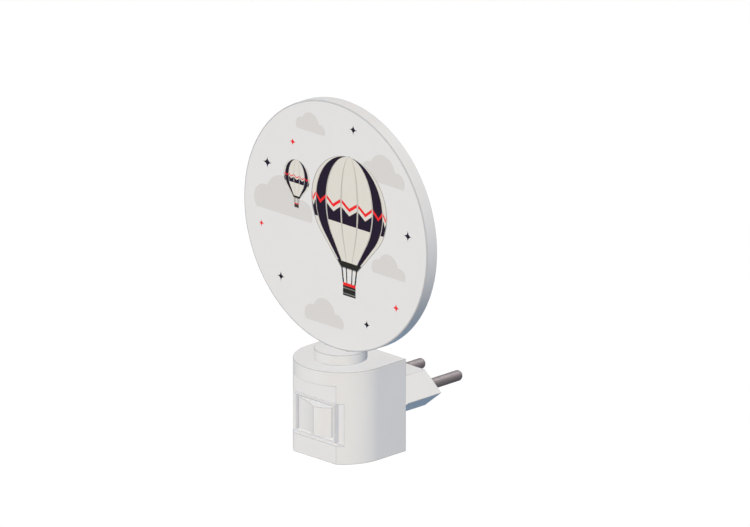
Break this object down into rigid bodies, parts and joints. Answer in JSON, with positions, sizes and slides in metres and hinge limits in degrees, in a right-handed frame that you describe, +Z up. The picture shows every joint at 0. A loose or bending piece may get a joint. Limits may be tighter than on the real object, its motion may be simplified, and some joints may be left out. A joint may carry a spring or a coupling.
{
  "type": "plug-in night light",
  "caption": "Plug-in night light: a round opal disc stands on edge in a collar on a small white housing, with a rocker switch in front and a plug with round pins behind.",
  "frame": {"origin": "centre of the plug's engagement face, midway between the pins where they leave the plug", "axes": "+Y points into the wall along the pins, +Z points up along the disc, +X points to the right of someone who faces the light"},
  "size_m": [0.094, 0.0689, 0.1333],
  "materials": {
    "housing_white": "white moulded plastic, fine satin texture",
    "disc_opal": "opal light-guide plastic, printed on the front",
    "switch_white": "white switch plastic, smooth",
    "pin_metal": "nickel-plated brass, dull",
    "contact_metal": "contact bronze",
    "screw_steel": "zinc-plated steel",
    "spring_steel": "bright spring wire",
    "plunger_plastic": "natural nylon",
    "board_laminate": "paper-phenolic laminate",
    "led_laminate": "white-lacquered laminate",
    "led_body": "white chip body with yellow lens",
    "lead_sleeve": "soft wire insulation",
    "film_case": "dipped capacitor case",
    "can_sleeve": "shrink sleeve",
    "chip_black": "moulded epoxy",
    "resistor_coat": "lacquered resistor"
  },
  "bodies": {
    "base": {"front_housing": "housing_white", "rear_cover": "housing_white", "cover_screws": "screw_steel", "neck_collar": "housing_white", "light_disc": "disc_opal", "led_board": "led_laminate", "led_chips": "led_body", "led_leads": "lead_sleeve", "switch_frame": "switch_white", "centre_terminal": "contact_metal", "switched_terminal": "contact_metal", "plug_pin_left": "pin_metal", "plug_pin_right": "pin_metal", "driver_board": "board_laminate", "board_screws": "screw_steel", "film_capacitor": "film_case", "smoothing_capacitor": "can_sleeve", "bridge_rectifier": "chip_black", "fusible_resistor": "resistor_coat", "discharge_resistor": "resistor_coat"},
    "rocker": {"switch_rocker": "switch_white", "rocker_spring": "spring_steel", "rocker_plunger": "plunger_plastic"},
    "see_saw": {"contact_bridge": "contact_metal"}
  },
  "joints": [
    {"name": "rocker_tilt", "type": "hinge", "parent": "base", "child": "rocker", "pos_m": [0, -0.04375, -0.003], "axis": [0, 0, 1], "range_deg": [0, 11]},
    {"name": "see_saw_tip", "type": "hinge", "parent": "base", "child": "see_saw", "pos_m": [0, -0.03635, -0.003], "axis": [0, 0, 1], "range_deg": [-10, 0]}
  ],
  "couplings": [
    {"joint": "see_saw_tip", "follows": "rocker_tilt", "ratio": -0.90909}
  ]
}
